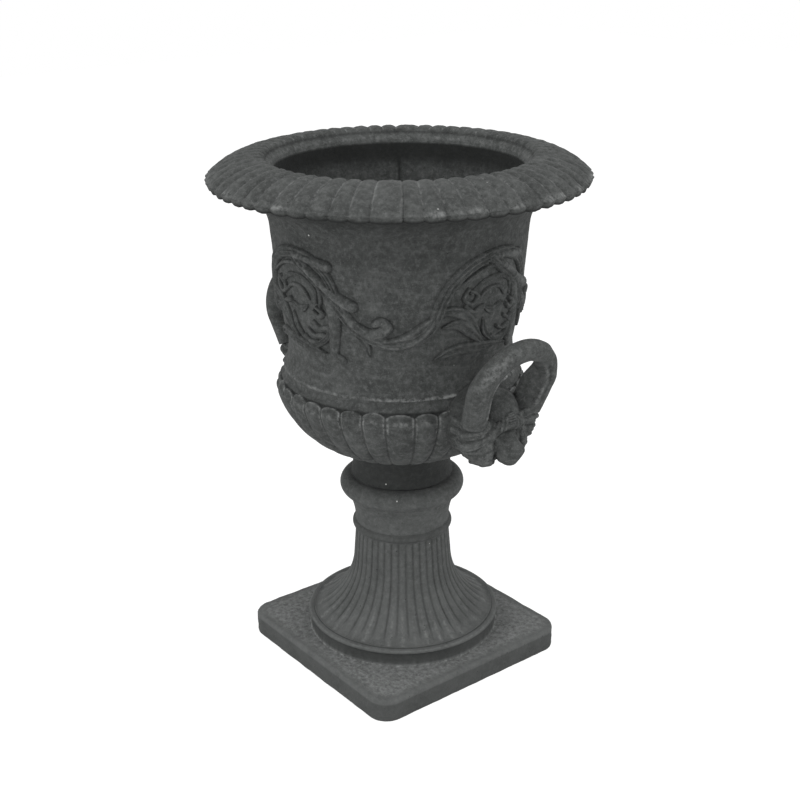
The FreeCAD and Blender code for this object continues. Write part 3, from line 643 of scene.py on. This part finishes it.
def cast_stone():
    """Charcoal cast stone, moulded and left matt: sand grain, pin-holes, dusty rubbed edges, painted shade in
    hollows.

    The attribute tone runs from -1 where shade is painted to +1 on rubbed edges and painted highlights. The
    colour grows lighter towards the bottom.
    """
    material, tree = blank_material("charcoal_cast_stone")
    place = add_node(tree, "ShaderNodeTexCoord").outputs["Object"]
    level = add_node(tree, "ShaderNodeSeparateXYZ", Vector=place).outputs["Z"]
    smear_place = add_node(tree, "ShaderNodeMapping", Vector=place, Scale=(1, 1, 4.5)).outputs[0]
    tone = add_node(tree, "ShaderNodeAttribute", {"attribute_name": "tone"}).outputs["Fac"]
    grain = noise(tree, place, 1.5, detail=2.0)
    patches = noise(tree, place, 38.0, 5.0, 0.6)
    rubs = noise(tree, place, 6.5, 5.0, 0.7)
    smears = noise(tree, smear_place, 30.0, 5.0, 0.65)
    base = linear("#3F4140")
    # (pattern, its value where the layer starts and where it is fullest, share there, colour)
    for pattern, start, full, most, colour in (
        (patches, 0.36, 0.66, 1.0, "#525453"),
        (smears, 0.52, 0.75, 0.5, "#666867"),
        (rubs, 0.5, 0.72, 0.65, "#707271"),
        (rubs, 0.48, 0.28, 0.7, "#2B2D2C"),
        (grain, 0.58, 0.74, 0.4, "#7C7E7D"),
    ):
        base = mix_colour(tree, ramp(tree, pattern, start, full, 0.0, most), base, linear(colour))
    # Lighter towards the bottom, in patches.
    low_down = ramp(tree, level, 0.36, 0.03, 0.0, 0.75)
    lighter_low_down = math_node(tree, "MULTIPLY", low_down, ramp(tree, patches, 0.2, 0.6, 0.6, 1.0))
    base = mix_colour(tree, lighter_low_down, base, linear("#6D6F6E"))
    # Light where tone and rubs are high: rubbed wear on edges, and the painted highlights that tone carries.
    worn = math_node(tree, "MULTIPLY", ramp(tree, tone, 0.15, 1.0), ramp(tree, rubs, 0.38, 0.66))
    base = mix_colour(tree, math_node(tree, "MULTIPLY", worn, 0.9), base, linear("#9C9E9D"))
    # Painted shade: near black where tone is low.
    base = mix_colour(tree, ramp(tree, tone, 0.0, -1.0, 0.0, 0.88), base, linear("#171918"))
    # Pin-holes: sunk by the bump, and painted dark as the shade inside them.
    from_pit, pitted = cells(tree, place, 8.0, 0, 0.55)
    holes = ramp(tree, from_pit, 0.05, 0.09)
    pits = math_node(tree, "MULTIPLY", math_node(tree, "SUBTRACT", 1.0, holes), pitted)
    base = mix_colour(tree, pits, base, linear("#161716"))
    from_chip, chipped = cells(tree, place, 27.0, 1, 0.84)
    chips = math_node(tree, "MULTIPLY", ramp(tree, from_chip, 0.045, 0.03), chipped)
    base = mix_colour(tree, chips, base, linear("#C9CAC8"))
    height = math_node(tree, "MULTIPLY", holes, 0.7)
    height = math_node(tree, "ADD", height, math_node(tree, "MULTIPLY", grain, 0.45))
    height = math_node(tree, "ADD", height, math_node(tree, "MULTIPLY", rubs, 1.6))
    relief = add_node(tree, "ShaderNodeBump", Height=height, Strength=0.7, Distance=1.2 * MM).outputs["Normal"]
    shader = add_node(tree, "ShaderNodeBsdfPrincipled", Base_Color=base, Roughness=0.85, Normal=relief)
    shader.inputs["Specular IOR Level"].default_value = 0.35
    add_node(tree, "ShaderNodeOutputMaterial", Surface=shader.outputs["BSDF"])
    return material


def clouded(name, size_mm, dark, light, rough, metallic):
    """Finish whose colour, and roughness from one value to another, drift in clouds of about one size."""
    material, tree = blank_material(name)
    place = add_node(tree, "ShaderNodeTexCoord").outputs["Object"]
    cloud = noise(tree, place, size_mm)
    colour = mix_colour(tree, cloud, linear(dark), linear(light))
    roughness = ramp(tree, cloud, 0.3, 0.7, *rough)
    shader = add_node(tree, "ShaderNodeBsdfPrincipled", Base_Color=colour, Metallic=metallic, Roughness=roughness)
    add_node(tree, "ShaderNodeOutputMaterial", Surface=shader.outputs["BSDF"])
    return material


FINISHES = {
    "cast_stone": cast_stone(),
    # Fixings, zinc-plated steel, cut and rolled: a satin grey metal with a fine cloudy spangle
    "zinc": clouded("zinc_plated_steel", 6.0, "#B4B7B9", "#D2D4D5", (0.32, 0.48), 1.0),
    # Gasket, pressed from black rubber sheet: dull, with a faint bloom
    "rubber": clouded("pressed_rubber", 12.0, "#1C1C1C", "#2B2B2B", (0.8, 0.8), 0.0),
}



# ---------- pieces


def build_bowl():
    """Rim, body and belly as three turned shells with their reliefs, and the frieze."""
    rim_columns, belly_columns = RIM_LOBE_COLUMNS * RIM_LOBES, BELLY_LOBE_COLUMNS * BELLY_LOBES
    turned_piece("bowl_rim", RIM_OUTLINE, rim_columns, rim_relief, "bowl", sharp=(0, 1, 7))
    turned_piece("bowl_body", BODY_OUTLINE, BODY_COLUMNS, body_relief, "bowl", sharp=(0, 1, 4, 5))
    turned_piece("bowl_belly", BELLY_OUTLINE, belly_columns, belly_relief, "bowl", sharp=(0, 1, 6, 7, 10))
    for number, centre in enumerate(SCROLL_BEARINGS, start=1):
        build_scroll(f"frieze_scroll_{number}", centre)


def build_pedestal():
    """Foot, shaft, neck and knob as one turned shell with its reeds."""
    columns, sharp = FOOT_REED_COLUMNS * FOOT_REEDS, (0, 1, 4, 7, 12, 13)
    turned_piece("pedestal_casting", PEDESTAL_OUTLINE, columns, pedestal_relief, "pedestal", sharp)


# ---------- plinth

PLINTH_HALF = 158.5
PLINTH_CORNER = 28.0
PLINTH_TOP = 33.0
PLINTH_EDGE = 4.5
PLINTH_COLUMNS = 560
RECESS_RADIUS = 43.0
RECESS_DEPTH = 20.0


def rounded_square(angle, inset):
    """Point and outward normal of a square with round corners, inset from the plinth's sides, by bearing.

    Each quarter of the turn runs along half a side, round a corner and along the next half side, with as
    many columns on the corner as its share of the length.
    """
    straight = PLINTH_HALF - PLINTH_CORNER
    bend = PLINTH_CORNER * math.pi / 2
    length = 2 * straight + bend
    quarter = np.floor(angle / (math.pi / 2))
    travel = (angle / (math.pi / 2) - quarter) * length
    first = np.clip(travel, 0, straight)
    turn = np.clip((travel - straight) / bend, 0, 1) * math.pi / 2
    last = np.clip(travel - straight - bend, 0, straight)
    core = np.stack([straight - last, first], axis=-1)
    normal = np.stack([np.cos(turn), np.sin(turn)], axis=-1)
    way = quarter * math.pi / 2
    spin = np.stack([np.stack([np.cos(way), -np.sin(way)], -1), np.stack([np.sin(way), np.cos(way)], -1)], -2)
    core = np.einsum("...ij,...j->...i", spin, core)
    normal = np.einsum("...ij,...j->...i", spin, normal)
    return core + normal * (PLINTH_CORNER - inset)[..., None], normal


def build_plinth():
    """Slab as rings stacked along its section: bore, top, rounded edge, side, underside, recess.

    Ring = (1 - s) * circle of the bore or recess + s * rounded square. The rows hold the circle's radius,
    the square's inset from the sides, the height and s.
    """
    bore, recess, top = BORE_RADIUS, RECESS_RADIUS, PLINTH_TOP
    rows = [(bore, 0.0, top, 0.0), (bore, 26.0, top, 0.3), (bore, 26.0, top, 0.55)]
    rows += [(bore, 26.0 - 3 * k, top, 0.6 + 0.4 * k / 7) for k in range(1, 8)]
    rows += [
        (bore, PLINTH_EDGE * (1 - math.sin(a)), top - PLINTH_EDGE * (1 - math.cos(a)), 1.0)
        for a in np.linspace(0, math.pi / 2, 9)
    ]
    rows += [(bore, 0.0, z, 1.0) for z in (25.0, 21.0, 18.0, 15.0, 12.0, 9.0, 6.0, 3.5)]
    rows += [(bore, 0.3, 1.6, 1.0), (bore, 1.2, 0.5, 1.0), (bore, 2.6, 0.0, 1.0), (recess, 20.0, 0.0, 0.6)]
    rows += [(recess, 0.0, z, 0.0) for z in (0.0, 10.0, RECESS_DEPTH)]
    rows += [(bore, 0.0, z, 0.0) for z in (RECESS_DEPTH, 24.5, 29.0)]
    circle, inset, height, share = (np.array(column)[:, None] for column in zip(*rows))
    angle = np.arange(PLINTH_COLUMNS)[None, :] * 2 * math.pi / PLINTH_COLUMNS
    angle, inset = np.broadcast_arrays(angle, inset)
    square, normal = rounded_square(angle, inset)
    round_part = np.stack([np.cos(angle), np.sin(angle)], axis=-1) * circle[..., None]
    flat = (1 - share[..., None]) * round_part + share[..., None] * square
    height = np.broadcast_to(height, angle.shape)
    points = np.concatenate([flat, height[..., None]], axis=-1)
    outer = np.broadcast_to((share == 1.0) & (height > 0.0), angle.shape)
    wear = 0.45 * waves(points, 26.0, 5) + 0.3 * waves(points, 9.0, 6)
    chips = np.clip(waves(points, 17.0, 7) - 1.45, 0, 1) * 2.4
    points[..., :2] -= normal * np.where(outer, 0.55 + wear * 0.5 + chips, 0.0)[..., None]
    points[..., 2] -= np.where(outer & (height > 20), 0.3 + 0.3 * wear + 0.6 * chips, 0.0)
    # Tone: lighter on the top face and its rounded upper edge, darker on the sides.
    tone = np.where(outer, np.where(height > 26, 0.2, -0.4), 0.0)
    tone = tone + 0.75 * ((height == PLINTH_TOP) & (share < 1.0))
    count = len(rows)
    sharp = np.repeat(np.isin(np.arange(count), (0, count - 6, count - 4)), PLINTH_COLUMNS)
    faces = ring_faces(count, PLINTH_COLUMNS)[:, ::-1]
    mesh_object("plinth_slab", points.reshape(-1, 3), faces, tone, ["plinth"], sharp)


# ---------- handles
# Places in a handle are (outwards from the axis, across, up), for the handle on +X.

HEAD_MIDDLE = np.array([178.0, 0.0, 385.0])
HEAD_COLUMNS = 320
HEAD_ROWS = 230

# (outwards, across, up, radius) of the round masses on the middle line and, mirrored, beside it
HEAD_MIDDLE_MASSES = (
    (164.0, 0.0, 388.0, 50.0),
    (184.0, 0.0, 408.0, 30.0),
    (212.0, 0.0, 363.5, 17.5),
    (213.0, 0.0, 357.0, 13.0),
)
HEAD_SIDE_MASSES = (
    (186.0, 19.0, 367.0, 24.5),
    (189.0, 41.0, 380.7, 16.0),
    (195.0, 43.0, 396.5, 14.5),
    (200.0, 37.0, 402.0, 10.5),
    (214.0, 8.5, 362.0, 12.0),
    (204.0, 12.0, 379.0, 10.0),
)
# chains of (outwards, across, up, radius): nose, brow and the wings of the nose
HEAD_MIDDLE_CHAINS = (
    ((207.0, 0.0, 388.0, 8.5), (213.0, 0.0, 382.0, 8.5), (219.0, 0.0, 375.0, 8.5), (224.5, 0.0, 369.0, 7.0)),
)
HEAD_SIDE_CHAINS = (
    ((209.0, 1.0, 398.5, 7.5), (208.5, 10.0, 397.5, 8.0), (204.0, 21.0, 391.0, 7.0), (199.0, 30.0, 379.0, 5.5)),
    ((226.0, 2.0, 367.0, 5.0), (224.0, 7.0, 364.5, 4.5)),
)


def ray_reach(way, middle, radius):
    """Farthest distance along directions to a sphere's skin: b + sqrt(R^2 - (|c|^2 - b^2)), b = c . way."""
    offset = middle - HEAD_MIDDLE
    along = way @ offset
    inside = radius**2 - (offset @ offset - along**2)
    return np.where(inside > 0, along + np.sqrt(np.clip(inside, 0, None)), -1.0)


def direction(lon, lat):
    """Unit direction at a longitude (0 outwards, plus across) and a latitude, in degrees."""
    lon, lat = np.radians(lon), np.radians(lat)
    return np.stack(np.broadcast_arrays(np.cos(lat) * np.cos(lon), np.cos(lat) * np.sin(lon), np.sin(lat)), -1)


def head_balls():
    """All round masses of the head, the chains filled in, mirrored across the middle."""
    balls = [np.array(ball) for ball in HEAD_MIDDLE_MASSES]
    chains = [np.array(chain) for chain in HEAD_MIDDLE_CHAINS]
    for side in (1, -1):
        mirror = np.array([1, side, 1, 1])
        balls += [np.array(ball) * mirror for ball in HEAD_SIDE_MASSES]
        chains += [np.array(chain) * mirror for chain in HEAD_SIDE_CHAINS]
    for chain in chains:
        balls += list(curve_through(chain, 12 * len(chain)))
    return balls


def head_skin(way, balls):
    """Farthest skin of all masses along each direction."""
    return np.max([ray_reach(way, ball[:3], ball[3]) for ball in balls], axis=0)


def lock_strands():
    """Strands of hair as (longitude, latitude, radius) curves: wavy locks that run from the face to the bowl.

    Lock k of a side starts at the face's edge and sinks as it runs back to the bowl; two strands lie side by
    side in it and follow a slow wave. Four tresses of a side come down over the forehead.
    """
    strands = []
    share = np.linspace(0, 1, 26)
    for side in (-1, 1):
        for lock in range(8):
            start = 22 - 12.5 * lock
            fall = 5 + 2.6 * lock
            begin = 33 + 6 * math.sin(math.pi * (lock + 0.5) / 8)
            lon = begin + (106 - begin) * share * (1 - 0.3 * max(0, lock - 5) / 2)
            for strand in (-1, 1):
                wave = 2.4 * np.sin(2 * math.pi * (share * 1.1 + 0.16 * lock + 0.1 * side))
                lat = start - fall * share**1.5 + strand * (3.2 - 1.1 * share) + wave
                radius = 3.5 - 0.9 * share + 0.3 * strand
                strands.append((side * lon, lat, radius))
        for tress in range(4):
            lon = side * (11 + 6.5 * tress + (3 + 3.5 * tress) * share)
            lat = 34 - 3 * tress - (20 - 2 * tress) * share
            strands.append((lon, lat, 2.3 + 0.6 * np.sin(math.pi * share)))
    return strands


def build_head(name, mirror, node):
    """Lion's head as distances from its middle: r(direction) = farthest skin of its masses and strands.

    Bells raise the tuft and eyeballs and sink eyes, mouth, brow crease and jaw line. The side towards the bowl
    is held just inside the bowl's skin, where it seats.
    """
    lon = np.arange(HEAD_COLUMNS) * 360 / HEAD_COLUMNS
    lat = -90 + (np.arange(HEAD_ROWS) + 0.5) * 180 / HEAD_ROWS
    lon, lat = np.meshgrid(lon, lat)
    way = direction(lon, lat)
    balls = head_balls()
    skin = head_skin(way, balls)
    deep = skin.copy()
    for strand_lon, strand_lat, radius in lock_strands():
        paths = direction(strand_lon, strand_lat)
        reach = head_skin(paths, balls) - 0.15 * radius
        for path, distance, size in zip(paths, reach, np.broadcast_to(radius, reach.shape)):
            middle = HEAD_MIDDLE + path * distance
            near = way @ path > math.cos(1.5 * size / distance)
            deep[near] = np.maximum(deep[near], ray_reach(way[near], middle, size))
    lon = centred(lon)
    aside = np.abs(lon)
    tuft = np.exp(-((lon / 8.5) ** 4)) * smooth(lat, 14, 19) * (1 - smooth(lat, 36, 41))
    deep += tuft * (2.6 + 1.1 * np.cos(np.radians(lat) * 95))
    eye = hump(aside, 21, 7.0) * hump(lat, -3, 4.5)
    ball = hump(aside, 20, 3.6) * hump(lat, -4, 3.0)
    mouth = hump(lat + 0.004 * lon**2, -47, 1.6) * (1 - smooth(aside, 24, 32))
    corner = hump(aside, 29, 4.5) * hump(lat, -36, 4.0)
    crease = hump(lat + 0.012 * np.minimum(lon**2, 900), 9, 2.2) * (1 - smooth(aside, 26, 34))
    jaw = hump(aside, 34, 2.4) * smooth(lat, -62, -50) * (1 - smooth(lat, -12, 0))
    deep += -2.4 * eye + 2.0 * ball - 2.2 * mouth - 3.6 * corner - 1.6 * crease - 1.8 * jaw
    for _ in range(2):
        above, below = np.vstack([deep[1:], deep[-1:]]), np.vstack([deep[:1], deep[:-1]])
        deep = 0.5 * deep + 0.125 * (np.roll(deep, 1, 1) + np.roll(deep, -1, 1) + above + below)
    points = HEAD_MIDDLE + way * deep[..., None]
    points += way * (0.35 * waves(points, 11.0, 8))[..., None]
    points = seat_on_bowl(points, way)
    # Tone: raised strands are lighter as rubbed wear; painted shade between the mane's strands and in eyes,
    # mouth, mouth corners, brow crease and jaw line.
    hollow = np.clip((deep - skin) / 2.5, 0, 1)
    tone = 0.28 * smooth(hollow, 0.4, 1.0) - 0.45 * (1 - smooth(hollow, 0.0, 0.35)) * (aside > 40)
    tone -= 0.6 * eye + 0.7 * corner + 0.7 * mouth + 0.7 * crease + 0.6 * jaw
    up = np.array([[0.0, 0.0, 1.0]])
    top = seat_on_bowl(HEAD_MIDDLE + up * deep[-1].mean(), up)
    foot = seat_on_bowl(HEAD_MIDDLE - up * deep[0].mean(), -up)
    points = np.concatenate([points.reshape(-1, 3), foot, top]) * np.array([mirror, 1, 1])
    tone = np.append(tone.ravel(), [0, 0])
    quads, fans = tube_faces(HEAD_ROWS, HEAD_COLUMNS, reverse=mirror < 0)
    mesh_object(name, points, quads, tone, [node], triangles=fans)


HEAD_SEAT_DEPTH = 4.0


def seat_on_bowl(points, way):
    """Draws points that lie deeper than the seat's depth inside the bowl's skin back to it, by halving."""
    low = np.zeros(points.shape[:-1])
    high = np.linalg.norm(points - HEAD_MIDDLE, axis=-1)
    whole = high.copy()
    for _ in range(22):
        middle = (low + high) / 2
        spot = HEAD_MIDDLE + way * middle[..., None]
        seat = plain_skin(spot[..., 2], BELLY_SIDE, BODY_SIDE) - HEAD_SEAT_DEPTH
        buried = np.hypot(spot[..., 0], spot[..., 1]) < seat
        high = np.where(buried, middle, high)
        low = np.where(buried, low, middle)
    reach = np.where(high < whole - 1e-3, low, whole)
    return HEAD_MIDDLE + way * reach[..., None]


LOOP_LEAN = 21.3
LOOP_FOOT = (203.5, 0.0, 418.0)
LOOP_HALF_FOOT = 41.0
LOOP_ROOT = 12.0
LOOP_FULL_ROOT = 40.0
LOOP_HALF_WIDTH = 52.0
LOOP_LEG = 34.0
LOOP_RADIUS = 13.75
LOOP_BEAD_ANGLE = 124.0
LOOP_WEB_ANGLE = 218.0
# Angle of the section at which a highlight is painted on the loop.
LOOP_PAINTED_SHEEN_ANGLE = 40.0
LOOP_ROWS = 340
LOOP_COLUMNS = 80


def loop_path():
    """Points of the loop's middle line and their directions, in its own plane (across, up)."""
    foot = np.array([-LOOP_HALF_FOOT, -LOOP_FULL_ROOT])
    centre = np.array([0.0, LOOP_LEG])
    gap = centre - foot
    reach = np.hypot(*gap)
    lean = math.asin(LOOP_HALF_WIDTH / reach)
    heading = math.atan2(gap[1], gap[0]) + lean
    leg = math.sqrt(reach**2 - LOOP_HALF_WIDTH**2) - (LOOP_FULL_ROOT - LOOP_ROOT)
    arch = 2 * heading
    length = 2 * leg + LOOP_HALF_WIDTH * arch
    travel = np.linspace(0, length, LOOP_ROWS)
    turned = np.clip((travel - leg) / LOOP_HALF_WIDTH, 0, arch)
    angle = heading + math.pi / 2 - turned
    on_arch = centre + LOOP_HALF_WIDTH * np.stack([np.cos(angle), np.sin(angle)], axis=-1)
    way = np.stack([np.cos(angle - math.pi / 2), np.sin(angle - math.pi / 2)], axis=-1)
    before = np.clip(leg - travel, 0, None)[:, None]
    beyond = np.clip(travel - leg - LOOP_HALF_WIDTH * arch, 0, None)[:, None]
    return on_arch - way * before + way * beyond, way, travel / length


def build_loop(name, mirror, node):
    """Loop as a round section swept along its path.

    Radius = loop's radius + a bead and groove along the inner side + flared feet with a web towards the bowl.
    Angles of the section count from its outer side towards the front.
    """
    line, way, share = loop_path()
    outward = np.stack([-way[:, 1], way[:, 0]], axis=-1)
    turn = np.arange(LOOP_COLUMNS) * 2 * math.pi / LOOP_COLUMNS
    degrees = np.degrees(turn)[None, :]
    end = np.minimum(share, 1 - share)[:, None]
    inner = centred(degrees - LOOP_BEAD_ANGLE)
    bead = hump(inner, 0.0, 9.0) - 0.9 * hump(inner, -19, 7.5)
    bead = bead * smooth(end, 0.03, 0.06) * (1 - 0.75 * smooth(end, 0.27, 0.36))
    web = hump(centred(degrees - LOOP_WEB_ANGLE), 0.0, 38.0)
    flare = 1.8 * (1 - smooth(end, 0.16, 0.34)) + 10.0 * web * (1 - smooth(end, 0.13, 0.31))
    radius = LOOP_RADIUS - 0.5 + flare + 1.1 * bead
    flat = line[:, None, :] + outward[:, None, :] * (np.cos(turn)[None, :, None] * radius[..., None])
    depth = np.sin(turn)[None, :] * radius
    lean = math.radians(LOOP_LEAN)
    across, up = flat[..., 0], flat[..., 1]
    outwards = LOOP_FOOT[0] + up * math.sin(lean) + depth * math.cos(lean)
    height = LOOP_FOOT[2] + up * math.cos(lean) - depth * math.sin(lean)
    points = np.stack([outwards, across, height], axis=-1)
    points += waves(points, 19.0, 9)[..., None] * np.array([0.18, 0.15, 0.18])
    # Painted highlight on the loop's outer front side, a third of the way along; the bead is lighter as rubbed
    # wear and the groove beside it painted darker as shade.
    painted_sheen = hump(centred(degrees - LOOP_PAINTED_SHEEN_ANGLE), 0.0, 30.0) * hump(share[:, None], 0.33, 0.09)
    tone = 0.5 * np.clip(bead, -1, 1) + 0.12 + 0.5 * painted_sheen
    ends = np.stack([points[0].mean(axis=0), points[-1].mean(axis=0)])
    points = np.concatenate([points.reshape(-1, 3), ends]) * np.array([mirror, 1, 1])
    quads, fans = tube_faces(LOOP_ROWS, LOOP_COLUMNS, reverse=mirror > 0)
    mesh_object(name, points, quads, np.append(tone.ravel(), [0, 0]), [node], triangles=fans)


def build_handles():
    """Head and loop of both handles; the left one is the right one mirrored."""
    for side, mirror in (("right", 1), ("left", -1)):
        build_head(f"head_{side}", mirror, f"handle_{side}")
        build_loop(f"loop_{side}", mirror, f"handle_{side}")


def finish_cad_nodes():
    """Gives the CAD pieces that stay their finish."""
    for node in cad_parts.values():
        slot = "cast_stone"
        if node.name.startswith(("handle_studs", "handle_washers", "handle_nuts", "tie_")):
            slot = "zinc"
        if node.name == "stem_gasket":
            slot = "rubber"
        node.data.materials.clear()
        node.data.materials.append(FINISHES[slot])


build_bowl()
build_pedestal()
build_plinth()
build_handles()
finish_cad_nodes()

# ---------- stage

# Fitted camera: picture sizes in pixels, places in metres, angles in radians
PHOTO_SIDE = 800
CAMERA_FOCAL = 1319.9
CAMERA_CENTRE = 401.23
CAMERA_DISTANCE = 1.6446
CAMERA_HEIGHT = 1.0139
CAMERA_PITCH = 0.3759
CAMERA_ROLL = -0.00917
FLOOR_HALF = 6.0
WORLD_STRENGTH = 0.47

# (name, metres to the right, towards the camera and up, side of the lamp in metres, watts)
LAMPS = (
    ("above", 0.0, 0.4, 2.3, 1.4, 12),
    ("left", -1.7, 1.3, 1.3, 1.0, 15),
    ("right", 1.7, 1.0, 1.1, 1.0, 9.5),
)
LAMP_TARGET = (0.0, 0.0, 0.4)


def make_camera():
    """Camera fitted to the photograph: its distance from the axis, height, downward pitch and small roll."""
    data = bpy.data.cameras.new("camera")
    data.sensor_width = 36.0
    data.lens = CAMERA_FOCAL / PHOTO_SIDE * data.sensor_width
    data.clip_end = 50.0
    camera = bpy.data.objects.new("camera", data)
    bearing = math.radians(VIEW_BEARING)
    camera.location = (CAMERA_DISTANCE * math.cos(bearing), CAMERA_DISTANCE * math.sin(bearing), CAMERA_HEIGHT)
    yaw = bearing + math.pi / 2 + math.atan((CAMERA_CENTRE - PHOTO_SIDE / 2) / CAMERA_FOCAL)
    turn = (
        Matrix.Rotation(yaw, 4, "Z")
        @ Matrix.Rotation(math.pi / 2 - CAMERA_PITCH, 4, "X")
        @ Matrix.Rotation(CAMERA_ROLL, 4, "Z")
    )
    camera.rotation_euler = turn.to_euler()
    bpy.context.scene.collection.objects.link(camera)
    bpy.context.scene.camera = camera


def softbox(name, place, size, power):
    """Square lamp that faces the urn's middle."""
    data = bpy.data.lights.new(name, "AREA")
    data.size = size
    data.energy = power
    lamp = bpy.data.objects.new(name, data)
    lamp.location = place
    lamp.rotation_euler = (Vector(LAMP_TARGET) - Vector(place)).to_track_quat("-Z", "Y").to_euler()
    bpy.context.scene.collection.objects.link(lamp)


def make_floor():
    """Pale paper floor, shown white to the camera with the object's shadow kept."""
    mesh = bpy.data.meshes.new("floor")
    corners = [(x * FLOOR_HALF, y * FLOOR_HALF, 0) for x, y in ((-1, -1), (1, -1), (1, 1), (-1, 1))]
    mesh.from_pydata(corners, [], [(0, 1, 2, 3)])
    floor = bpy.data.objects.new("floor", mesh)
    bpy.context.scene.collection.objects.link(floor)
    material, tree = blank_material("white_paper")
    seen = add_node(tree, "ShaderNodeLightPath").outputs["Is Camera Ray"]
    paper = add_node(tree, "ShaderNodeBsdfDiffuse", Color=linear("#F4F4F4"))
    bright = add_node(tree, "ShaderNodeBsdfDiffuse", Color=(0.35, 0.35, 0.35, 1))
    glow = add_node(tree, "ShaderNodeEmission", Color=(1, 1, 1, 1), Strength=0.9)
    lifted = add_node(tree, "ShaderNodeAddShader", i0=bright.outputs[0], i1=glow.outputs[0])
    shown = add_node(tree, "ShaderNodeMixShader", i0=seen, i1=paper.outputs[0], i2=lifted.outputs[0])
    add_node(tree, "ShaderNodeOutputMaterial", Surface=shown.outputs[0])
    mesh.materials.append(material)


def make_light():
    """Even white surroundings, a broad lamp above and a softer one at each side, as the photograph shows."""
    world = bpy.data.worlds.new("studio")
    bpy.context.scene.world = world
    world.use_nodes = True
    tree = world.node_tree
    tree.nodes.clear()
    path = add_node(tree, "ShaderNodeLightPath").outputs
    seen = math_node(tree, "MAXIMUM", path["Is Camera Ray"], path["Is Glossy Ray"])
    strength = ramp(tree, seen, 0.0, 1.0, WORLD_STRENGTH, 1.0)
    shown = add_node(tree, "ShaderNodeBackground", Color=(1, 1, 1, 1), Strength=strength)
    add_node(tree, "ShaderNodeOutputWorld", Surface=shown.outputs[0])
    bearing = math.radians(VIEW_BEARING)
    ahead = np.array([math.cos(bearing), math.sin(bearing), 0.0])
    right = np.array([-ahead[1], ahead[0], 0.0])
    for name, across, forward, up, size, power in LAMPS:
        softbox(name, tuple(across * right + forward * ahead + (0, 0, up)), size, power)


make_camera()
make_floor()
make_light()
bpy.context.scene.view_settings.view_transform = "Standard"
